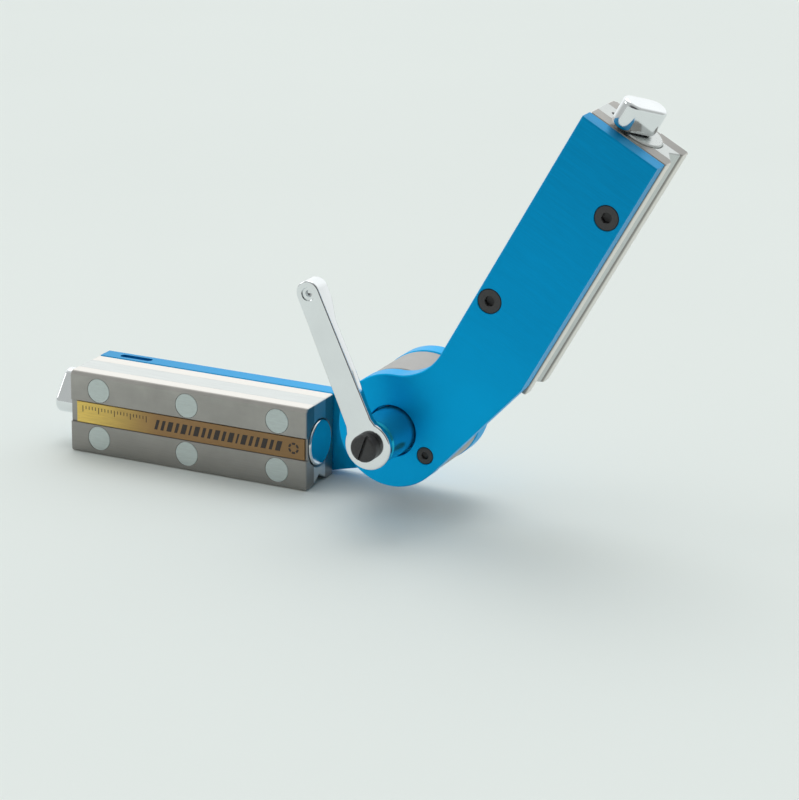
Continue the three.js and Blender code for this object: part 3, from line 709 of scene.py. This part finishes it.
class MAGNETHOLDER_OT_poles(bpy.types.Operator):
    """Build the four ground steel poles of the magnet bars"""

    bl_idname = "magnet_holder.poles"
    bl_label = "Poles"

    def execute(self, context):
        low, high = bar()
        label = arm_box("label_plate")
        floor, gap, ease = label[0].y - 0.05 * MM, 0.3 * MM, sizes().groove_ease
        bottom, top = label[0].z - gap, label[1].z + gap
        flare = ease + PAST
        groove = prism("groove", [
            (floor, bottom), (high.y - ease, bottom), (high.y + PAST, bottom - flare),
            (high.y + PAST, top + flare), (high.y - ease, top), (floor, top)],
            low.x - PAST, high.x + PAST, "x")
        for name, near, far, cutters in (
                ("label_pole", arm_box("label_pole")[0].y, high.y + PAST, [*bolt_pockets(), groove]),
                ("plate_pole", low.y - PAST, arm_box("plate_pole")[1].y, [])):
            outline = rectangle(near, far, low.z - PAST, high.z + PAST)
            piece = bar_piece(name, outline, [*rotor_pockets(), *cutters])
            on_both_arms(piece, f"{name}_steel", "arm", ground_steel, [name])
        return {"FINISHED"}


class MAGNETHOLDER_OT_spacers(bpy.types.Operator):
    """Build the non-magnetic spacers between the poles"""

    bl_idname = "magnet_holder.spacers"
    bl_label = "Spacers"

    def execute(self, context):
        s = sizes()
        low, high = bar()
        near, far = arm_box("plate_pole")[1].y + s.seam, arm_box("label_pole")[0].y - s.seam
        middle_z = rotor_axis().z
        for name, bottom, top in (("back_spacer", middle_z + s.seam, high.z + PAST),
                                  ("vee_spacer", low.z - PAST, middle_z - s.seam)):
            piece = bar_piece(name, rectangle(near, far, bottom, top), rotor_pockets())
            on_both_arms(piece, f"{name}_alloy", "arm", spacer_alloy, [name])
        return {"FINISHED"}


class MAGNETHOLDER_OT_tie_bolts(bpy.types.Operator):
    """Build the tie bolts, whose heads are ground flush with the label side"""

    bl_idname = "magnet_holder.tie_bolts"
    bl_label = "Tie bolts"

    def execute(self, context):
        face, ease, depth = bar()[1].y, 0.12 * MM, 1.8 * MM
        for bolt in BOLTS:
            radius, centre = seat_of(arm_box(bolt))
            profile = [(0, face - depth), (radius, face - depth), (radius, face - ease),
                       (radius - ease, face), (0, face)]
            piece = smooth(turned(bolt, profile, centre, steps=56))
            on_both_arms(piece, f"{bolt}_head", "arm", bolt_alloy, [bolt])
        return {"FINISHED"}


class MAGNETHOLDER_OT_label(bpy.types.Operator):
    """Build the label strip with plain graduation marks"""

    bl_idname = "magnet_holder.label"
    bl_label = "Label"

    def execute(self, context):
        low, high = arm_box("label_plate")
        piece = prism("label", rectangle(low.x, high.x, low.z, high.z), low.y, high.y, "y", 0.08 * MM)
        on_both_arms(smooth(piece), "label_foil", "arm", label_foil, ["label_plate"])
        ink = smooth(self.marks(low, high))
        on_both_arms(ink, "label_marks", "arm", label_ink)
        return {"FINISHED"}

    def marks(self, low, high):
        """A ring, a row of slanted bars and a short rule, all plain shapes."""
        tall = high.z - low.z
        centre = (low.z + high.z) / 2
        ring_x, ring, dashes = low.x + tall * 0.55, tall * 0.27, 6
        shapes = []
        for i in range(dashes):
            start, end = i * 60 + 8, i * 60 + 52
            inner = arc(ring_x, centre, ring * 0.62, start, end, 6)
            shapes.append(arc(ring_x, centre, ring, start, end, 6) + inner[::-1])
        x, slant, margin, gap = low.x + tall * 1.25, tall * 0.14, tall * 0.26, 1.5 * MM
        widths = (2.4, 1.5, 2.4, 1.5, 1.5, 2.4, 0.9)
        row_end = low.x + (high.x - low.x) * 0.66
        for width in itertools.cycle(widths):
            if x >= row_end:
                break
            width *= MM
            shapes.append([(x, low.z + margin), (x + width, low.z + margin),
                           (x + width - slant, high.z - margin), (x - slant, high.z - margin)])
            x += width + gap
        tick, pitch, top = 0.35 * MM, 1.6 * MM, high.z - tall * 0.18
        rule_start, rule_end = row_end + 3 * MM, high.x - 3 * MM
        for count in range(math.ceil((rule_end - rule_start) / pitch)):
            drop = tall * (0.3 if count % 5 == 0 else 0.16)
            x = rule_start + count * pitch
            shapes.append(rectangle(x, x + tick, top - drop, top))
        face, relief = high.y, 0.03 * MM
        bm = bmesh.new()
        for shape in shapes:
            lower, upper = ([bm.verts.new((a, level, b)) for a, b in shape]
                            for level in (face, face + relief))
            bm.faces.new(lower)
            bm.faces.new(reversed(upper))
            band(bm, lower, upper)
        bmesh.ops.recalc_face_normals(bm, faces=bm.faces)
        return object_from(bm, "marks")


class MAGNETHOLDER_OT_rotor_ends(bpy.types.Operator):
    """Build the polished end discs, the bushes under the knobs and the detent plungers"""

    bl_idname = "magnet_holder.rotor_ends"
    bl_label = "Rotor ends"

    def execute(self, context):
        disc = arm_box("rotor_end_disc")
        radius = radius_of(disc, "z")
        centre = rotor_axis()
        ease = 0.5 * MM
        profile = [(0, disc[0].x), (radius - 2 * ease, disc[0].x), (radius - ease, disc[0].x + 0.1 * MM),
                   (radius - ease / 3, disc[0].x + 0.35 * MM), (radius, disc[0].x + ease * 1.4),
                   (radius, disc[1].x), (0, disc[1].x)]
        piece = smooth(turned("end_disc", profile, centre, "x", 96), 40)
        on_both_arms(piece, "rotor_end_face", "rotor", chrome, ["rotor_end_disc"])
        bush = arm_box("bearing_bush")
        outer = radius_of(bush, "z")
        spindle_hole = 4 * MM
        profile = tube(spindle_hole, outer, bush[0].x, bush[1].x, end_ease=ease)
        piece = smooth(turned("bush", profile, centre, "x", 96))
        on_both_arms(piece, "bush_ring", "arm", bush_steel, ["bearing_bush"])
        plunger = arm_box("detent_plunger")
        pin = radius_of(plunger, "y")
        nose = [(pin * math.cos(t), plunger[1].x - pin * 0.5 * (1 - math.sin(t)))
                for t in map(math.radians, range(0, 91, 15))]
        profile = [(0, plunger[0].x), (pin, plunger[0].x), *nose[:-1], (0, plunger[1].x)]
        piece = smooth(turned("plunger", profile, middle(plunger) * Vector((0, 1, 1)), "x", 32), 40)
        on_both_arms(piece, "detent_nose", "arm", black_oxide, ["detent_plunger"])
        return {"FINISHED"}


class MAGNETHOLDER_OT_knobs(bpy.types.Operator):
    """Build the two on/off knobs"""

    bl_idname = "magnet_holder.knobs"
    bl_label = "Knobs"

    def execute(self, context):
        s = sizes()
        low, high = arm_box("knob")
        straight = (s.knob_length - s.knob_width) / 2
        for arm, turn in (("lower", s.lower_knob), ("upper", s.upper_knob)):
            outline = stadium(straight, s.knob_width / 2, -s.knob_offset, 0, 28)
            piece = smooth(prism(f"{arm}_knob_chrome", outline, low.x, high.x, "x", s.knob_ease, 6), 40)
            place = arm_frame(arm) @ Matrix.Translation(rotor_axis()) @ Matrix.Rotation(turn, 4, "X")
            nodes = [f"{arm}_knob", f"{arm}_knob_pin"]
            set_down(piece, place, f"{arm}_rotor", chrome, nodes)
        return {"FINISHED"}


# ---- Side plates and their screws ----


def plate_outline():
    """The plate in (x, z): a disc round the hinge, a neck and the long straight blade."""
    s = sizes()
    low, high = arm_box("side_plate")
    radius = -low.x
    back = bar()[1].z
    fillet_z = back + s.neck_fillet
    fillet_x = math.sqrt((radius + s.neck_fillet) ** 2 - fillet_z ** 2)
    meet = math.degrees(math.atan2(fillet_z, fillet_x))
    slope = s.neck_angle
    tangent = Vector((-radius * math.sin(slope), -radius * math.cos(slope)))
    corner = tangent.x + (tangent.y - low.z) / math.tan(slope)
    outline = [(high.x, back)]
    outline += arc(fillet_x, fillet_z, s.neck_fillet, -90, meet - 180, 24)
    outline += arc(0, 0, radius, meet, 270 - math.degrees(slope), 120)[1:]
    outline += [(corner, low.z), (high.x, low.z)]
    return outline


def countersink(box, face, gap, bottom):
    """A cutter for a flat-head screw's seat, opening towards -Y at the face."""
    head, centre = seat_of(box)
    head += gap
    lip, land = 0.25 * MM, 0.9 * MM
    profile = [(0, face - PAST), (head + lip, face - PAST), (head + lip, face), (head, face + lip),
               (head, face + land), (head * 0.5, face + head * 0.5 + land), (head * 0.5, bottom),
               (0, bottom)]
    return turned("countersink", profile, centre, steps=64)


def socket_screw(name, box, face, reach):
    """A flat-head screw seen from -Y, with a hexagon socket."""
    head, centre = seat_of(box)
    rim, land, shank = 0.3 * MM, 0.7 * MM, head * 0.48
    profile = [(0, face), (head * 0.62, face), (head - rim, face + 0.02 * MM), (head, face + rim),
               (head, face + land), (shank, face + land + head * 0.52), (shank, reach), (0, reach)]
    screw = turned(name, profile, centre, steps=64)
    across, lead, floor = head * 0.44, 0.25 * MM, face + head * 0.42
    hexagon = turned("socket", [
        (0, face - PAST), (across, face - PAST), (across, floor), (0, floor + across * 0.3)],
        centre, steps=6)
    mouth = turned("mouth", [
        (0, face - lead), (across + lead, face - lead), (across * 0.8, face + lead * 2),
        (0, face + lead * 2)], centre, steps=48)
    return smooth(combine(screw, [hexagon, mouth]))


class MAGNETHOLDER_OT_side_plates(bpy.types.Operator):
    """Build the two blue side plates"""

    bl_idname = "magnet_holder.side_plates"
    bl_label = "Side plates"

    def execute(self, context):
        s = sizes()
        low, high = arm_box("side_plate")
        back = bar()[1].z
        plate = prism("plate", plate_outline(), low.y, high.y, "y", s.plate_ease)
        past = high.y + PAST
        cutters = [countersink(arm_box(screw), low.y, 0.12 * MM, past) for screw in PLATE_SCREWS]
        hub = hinge_box("clamp_hub")
        pocket = (hub[1].x - hub[0].x) / 2 + s.hub_pocket_gap
        floor = low.y + 4.5 * MM
        lip = 0.3 * MM
        cutters.append(turned("hub_pocket", [
            (0, low.y - PAST), (pocket + lip + PAST, low.y - PAST), (pocket, low.y + lip),
            (pocket, floor), (BORE, floor), (BORE, past), (0, past)], steps=120))
        slot_end = high.x - s.slot_margin - s.slot_width / 2
        slot_start = slot_end - s.slot_length + s.slot_width
        outline = stadium((slot_end - slot_start) / 2, s.slot_width / 2, (slot_start + slot_end) / 2,
                          (low.y + high.y) / 2, 16)
        cutters.append(prism("slot", outline, back - s.slot_depth, back + PAST, "z"))
        smooth(combine(plate, cutters))
        on_both_arms(plate, "side_plate_blue", "arm", blue_anodised, ["side_plate"])
        return {"FINISHED"}


class MAGNETHOLDER_OT_plate_screws(bpy.types.Operator):
    """Build the socket screws in the side plates"""

    bl_idname = "magnet_holder.plate_screws"
    bl_label = "Plate screws"

    def execute(self, context):
        low, high = arm_box("side_plate")
        for node in PLATE_SCREWS:
            piece = socket_screw(node, arm_box(node), low.y + 0.12 * MM, high.y - 0.5 * MM)
            on_both_arms(piece, f"{node}_head", "arm", black_oxide, [node])
        return {"FINISHED"}


# ---- Hinge and clamp, round the hinge axis ----


class MAGNETHOLDER_OT_drum(bpy.types.Operator):
    """Build the turned drum between the side plates, and the stud's head behind it"""

    bl_idname = "magnet_holder.drum"
    bl_label = "Drum"

    def execute(self, context):
        low, high = hinge_box("hinge_drum")
        radius = radius_of((low, high))
        ease = 0.5 * MM
        profile = tube(BORE, radius, low.y, high.y, ease, ease)
        piece = smooth(turned("hinge_drum_steel", profile, steps=160))
        set_down(piece, HINGE_FRAME, "lower_arm", turned_steel, ["hinge_drum"])
        low, high = hinge_box("clamp_stud")
        head = radius_of((low, high))
        seat, shank, dish = high.y - 3.6 * MM, 5 * MM, high.y - 0.4 * MM
        profile = [(0, low.y), (shank, low.y), (shank, seat), (head, seat), (head, high.y - ease),
                   (head - ease, high.y), (head * 0.45, high.y), (head * 0.4, dish), (0, dish)]
        piece = smooth(turned("clamp_stud_black", profile, steps=96))
        set_down(piece, HINGE_FRAME, "lower_arm", black_oxide, ["clamp_stud"])
        return {"FINISHED"}


class MAGNETHOLDER_OT_hub(bpy.types.Operator):
    """Build the blue hub under the lever, with its set screw"""

    bl_idname = "magnet_holder.hub"
    bl_label = "Hub"

    def execute(self, context):
        low, high = hinge_box("clamp_hub")
        radius = radius_of((low, high))
        collar = radius * 0.934
        face = arm_box("side_plate")[0].y
        ease = 0.7 * MM
        profile = [(0, low.y), (collar - ease, low.y), (collar, low.y + ease), (radius, face),
                   (radius, high.y - ease), (radius - ease, high.y), (0, high.y)]
        hub = turned("clamp_hub_blue", profile, steps=120)
        screw = hinge_box("hub_set_screw")
        centre = middle(screw)
        out = Vector((centre.x, 0, centre.z)).normalized().to_track_quat("Z", "Y")
        turn = Matrix.Translation((0, centre.y, 0)) @ out.to_matrix().to_4x4()
        bore = radius_of(screw, "y")
        hole_radius, hole_floor, flare = bore + 0.1 * MM, 4 * MM, radius + 0.4 * MM
        hole = turned("hole", [
            (0, hole_floor), (hole_radius, hole_floor), (hole_radius, radius - 1.1 * MM),
            (bore + 1.6 * MM, flare), (0, flare)], axis="z", steps=48)
        hole.matrix_world = turn
        smooth(combine(hub, [hole]))
        on_clamp(hub, hub_blue, "clamp_hub")
        end, rim = radius - 1.9 * MM, 0.3 * MM
        grub = turned("hub_grub_screw", [
            (0, end - 3.5 * MM), (bore, end - 3.5 * MM), (bore, end - rim), (bore - rim, end), (0, end)],
            axis="z", steps=40)
        socket = turned("socket", [
            (0, end - 1.6 * MM), (bore * 0.5, end - 1.4 * MM), (bore * 0.5, end + PAST),
            (0, end + PAST)], axis="z", steps=6)
        smooth(combine(grub, [socket]))
        on_clamp(grub, black_oxide, "hub_set_screw", turn)
        return {"FINISHED"}


class MAGNETHOLDER_OT_lever(bpy.types.Operator):
    """Build the plated clamp lever"""

    bl_idname = "magnet_holder.lever"
    bl_label = "Lever"

    def execute(self, context):
        s = sizes()
        self.front = hinge_box("clamp_lever")[0].y
        piece = self.body()
        front, drill, rim, lead = self.front, 1.5 * MM, 2.9 * MM, 0.4 * MM
        dimple = turned("dimple", [
            (0, front + 3.6 * MM), (drill, front + 2.9 * MM), (drill, front + 0.9 * MM),
            (rim * 0.9, front + 0.75 * MM), (rim, front), (rim + lead, front - lead), (0, front - lead)],
            (s.lever_length - 0.3 * MM, 0, 0), steps=48)
        hole = turned("hole", rod(3.3 * MM, front - PAST, front + 15 * MM), steps=48)
        smooth(combine(piece, [hole, dimple]), 40)
        turn = Matrix.Rotation(-s.lever_angle, 4, "Y")
        on_clamp(piece, chrome, "clamp_lever", turn)
        return {"FINISHED"}

    def half_outline(self):
        """Points from the tip's end over the upper side to the head's far end."""
        s = sizes()
        root = s.lever_root / 2
        opening = math.degrees(math.asin(root / s.lever_head))
        start = Vector((s.lever_length, s.lever_tip))
        end = Vector((s.lever_head * math.cos(math.radians(opening)) + 2.2 * MM, root - 0.1 * MM))
        tip = arc(s.lever_length, 0, s.lever_tip, 0, 90, 14)
        side = [tuple(start.lerp(end, i / 30)) for i in range(1, 31)]
        head = arc(0, 0, s.lever_head, opening + 6, 180, 30)
        return tip + side + head

    def thickness(self, x):
        """Thin at the head, fuller along the arm, and swelling at the tip."""
        s = sizes()
        full = s.lever_length - s.lever_tip * 0.6
        swell = s.lever_length * 0.76
        if x <= s.lever_head:
            return s.lever_neck
        if x <= swell:
            t = min(1.0, (x - s.lever_head) / (swell * 0.5))
            return s.lever_neck + (s.lever_waist - s.lever_neck) * gentle(t)
        t = min(1.0, (x - swell) / (full - swell))
        return s.lever_waist + (s.lever_swell - s.lever_waist) * gentle(t)

    def body(self):
        s = sizes()
        upper = self.half_outline()
        outline = upper + [(x, -z) for x, z in reversed(upper[1:-1])]
        bm = bmesh.new()
        turns = [math.pi / 2 * i / 4 for i in range(5)]
        rings = []
        for turn in turns:
            level = s.lever_ease * (1 - math.cos(turn))
            shape = inset(outline, s.lever_ease * (1 - math.sin(turn)))
            rings.append([bm.verts.new((x, self.front + level, z)) for x, z in shape])
        for turn in reversed(turns):
            level = s.lever_round * (1 - math.cos(turn))
            shape = inset(outline, s.lever_round * (1 - math.sin(turn)))
            rings.append([bm.verts.new((x, self.front + self.thickness(x) - level, z))
                          for x, z in shape])
        count = len(outline)
        for low, high in zip(rings, rings[1:]):
            band(bm, low, high)
        for ring in (rings[0], rings[-1]):
            half = count // 2
            bm.faces.new((ring[0], ring[1], ring[-1]))
            for i in range(1, half - 1):
                bm.faces.new((ring[i], ring[i + 1], ring[count - i - 1], ring[count - i]))
            bm.faces.new((ring[half - 1], ring[half], ring[half + 1]))
        bmesh.ops.recalc_face_normals(bm, faces=bm.faces)
        return object_from(bm, "clamp_lever_chrome")


class MAGNETHOLDER_OT_lever_screw(bpy.types.Operator):
    """Build the slotted screw that holds the lever"""

    bl_idname = "magnet_holder.lever_screw"
    bl_label = "Lever screw"

    def execute(self, context):
        s = sizes()
        low, high = hinge_box("lever_screw")
        radius = radius_of((low, high))
        seat = hinge_box("clamp_lever")[0].y
        rim, dome, step = 1.3 * MM, 0.35 * MM, 0.2 * MM
        crown = [(radius * math.sin(t), low.y + dome * (1 - math.cos(t)))
                 for t in map(math.radians, range(0, 61, 10))]
        edge = [(radius - rim * (1 - math.sin(t)), low.y + step + rim * (1 - math.cos(t)))
                for t in map(math.radians, range(0, 91, 15))]
        crown = [(r, y) for r, y in crown if r < edge[0][0] - step]
        shank = 3 * MM
        profile = [*crown, *edge, (radius, seat - 0.15 * MM), (radius - 0.3 * MM, seat), (shank, seat),
                   (shank, high.y), (0, high.y)]
        piece = turned("lever_screw_black", profile, steps=88)
        half, across, depth = s.screw_slot / 2, radius + PAST, 1.5 * MM
        slot = prism("slot", rectangle(-across, across, -half, half), low.y - PAST, low.y + depth)
        slot.matrix_world = Matrix.Rotation(-s.screw_turn, 4, "Y")
        smooth(combine(piece, [slot]), 30)
        on_clamp(piece, black_oxide, "lever_screw")
        return {"FINISHED"}


class MAGNETHOLDER_OT_inner_parts(bpy.types.Operator):
    """Give the pieces inside the holder their finishes"""

    bl_idname = "magnet_holder.inner_parts"
    bl_label = "Inner parts"

    def execute(self, context):
        finishes = {"friction_washer": brass, "thrust_washer": brass}
        for arm in ARMS:
            finishes[f"{arm}_rotor_magnet"] = magnet_plate
        for node, maker in finishes.items():
            mesh = frame["nodes"][node].data
            mesh.materials.clear()
            mesh.materials.append(finish(maker))
        return {"FINISHED"}


# ---- Stage ----


class MAGNETHOLDER_OT_stage(bpy.types.Operator):
    """Set up the pale floor, the soft light and the camera"""

    bl_idname = "magnet_holder.stage"
    bl_label = "Stage"

    def execute(self, context):
        self.floor()
        self.sky()
        self.sun("overhead", (-0.35, 0.5, 1.4), 40, 0.6)
        self.sun("left_edge", (-1.4, -0.5, 0.7), 25, 0.3)
        self.camera()
        context.scene.view_settings.view_transform = "Standard"
        return {"FINISHED"}

    def floor(self):
        bm = bmesh.new()
        bmesh.ops.create_grid(bm, x_segments=1, y_segments=1, size=12)
        floor = object_from(bm, "studio_floor")
        floor.location.z = -0.0002
        floor.data.materials.append(finish(studio_floor))

    def sky(self):
        """A soft dome, bright behind and above the holder and dim in front of it."""
        world = bpy.data.worlds.new("studio")
        bpy.context.scene.world = world
        world.use_nodes = True
        wiring = Wiring(world.node_tree)
        place = wiring.node("ShaderNodeTexCoord").outputs["Generated"]
        around, behind, in_front = (0.66, 0.685, 0.675), (1.42, 1.46, 1.46), (0.1, 0.1, 0.105)
        tone = around
        for towards, start, full, reached in (((-0.33, 0.82, 0.42), 0.2, 0.9, behind),
                                              ((0.45, -0.85, 0.1), 0.55, 0.95, in_front)):
            dot = wiring.node("ShaderNodeVectorMath", {0: place, 1: Vector(towards).normalized()},
                              operation="DOT_PRODUCT")
            span = wiring.remap(dot.outputs["Value"], start, full, smooth=True)
            tone = wiring.blend(span, tone, reached)
        background = world.node_tree.nodes["Background"].inputs
        background["Strength"].default_value = 0.8
        wiring.feed(background["Color"], tone)

    def sun(self, name, towards, spread, power):
        """An even light from far away, as soft as its spread in degrees."""
        light = bpy.data.lights.new(name, "SUN")
        light.angle = math.radians(spread)
        light.energy = power
        lamp = bpy.data.objects.new(name, light)
        lamp.location = towards
        lamp.rotation_euler = Vector(towards).to_track_quat("Z", "Y").to_euler()
        bpy.context.scene.collection.objects.link(lamp)

    def camera(self):
        view = bpy.context.scene.magnet_holder_view
        a, e, roll = view.azimuth, view.elevation, view.roll
        back = Vector((math.sin(a) * math.cos(e), -math.cos(a) * math.cos(e), math.sin(e)))
        level = Vector((math.cos(a), math.sin(a), 0))
        over = back.cross(level)
        right = level * math.cos(roll) + over * math.sin(roll)
        up = back.cross(right)
        camera = bpy.data.objects.new("camera", bpy.data.cameras.new("camera"))
        camera.data.lens = view.lens
        camera.data.clip_start = 0.05
        camera.data.clip_end = 50
        camera.data.dof.use_dof = False
        aim = HINGE + Vector((view.aim_x, 0, view.aim_z))
        place = Matrix.Translation(aim + back * view.distance)
        camera.matrix_world = place @ Matrix((right, up, back)).transposed().to_4x4()
        bpy.context.scene.collection.objects.link(camera)
        bpy.context.scene.camera = camera


# ---- Add-on ----

BUILDERS = (
    MAGNETHOLDER_OT_poles,
    MAGNETHOLDER_OT_spacers,
    MAGNETHOLDER_OT_tie_bolts,
    MAGNETHOLDER_OT_label,
    MAGNETHOLDER_OT_rotor_ends,
    MAGNETHOLDER_OT_knobs,
    MAGNETHOLDER_OT_side_plates,
    MAGNETHOLDER_OT_plate_screws,
    MAGNETHOLDER_OT_drum,
    MAGNETHOLDER_OT_hub,
    MAGNETHOLDER_OT_lever,
    MAGNETHOLDER_OT_lever_screw,
    MAGNETHOLDER_OT_inner_parts,
    MAGNETHOLDER_OT_stage,
)


class MAGNETHOLDER_PT_panel(bpy.types.Panel):
    """Sizes, colours and build steps of the magnet holder"""

    bl_idname = "MAGNETHOLDER_PT_panel"
    bl_label = "Welding Magnet Holder"
    bl_space_type = "VIEW_3D"
    bl_region_type = "UI"
    bl_category = "Magnet Holder"

    def draw(self, context):
        for name, group in GROUPS.items():
            column = self.layout.column()
            column.label(text=group.bl_rna.description)
            for field in group.__annotations__:
                column.prop(getattr(context.scene, name), field)
        column = self.layout.column()
        column.label(text="Build")
        for builder in BUILDERS:
            column.operator(builder.bl_idname)


GROUPS = {
    "magnet_holder_sizes": MagnetHolderSizes,
    "magnet_holder_colours": MagnetHolderColours,
    "magnet_holder_view": MagnetHolderView,
}
CLASSES = (*GROUPS.values(), *BUILDERS, MAGNETHOLDER_PT_panel)


def register():
    for item in CLASSES:
        bpy.utils.register_class(item)
    for name, group in GROUPS.items():
        setattr(bpy.types.Scene, name, PointerProperty(type=group))


def unregister():
    for name in GROUPS:
        delattr(bpy.types.Scene, name)
    for item in reversed(CLASSES):
        bpy.utils.unregister_class(item)


def main():
    register()
    for builder in BUILDERS:
        area, name = builder.bl_idname.split(".")
        getattr(getattr(bpy.ops, area), name)()


if __name__ == "__main__":
    main()
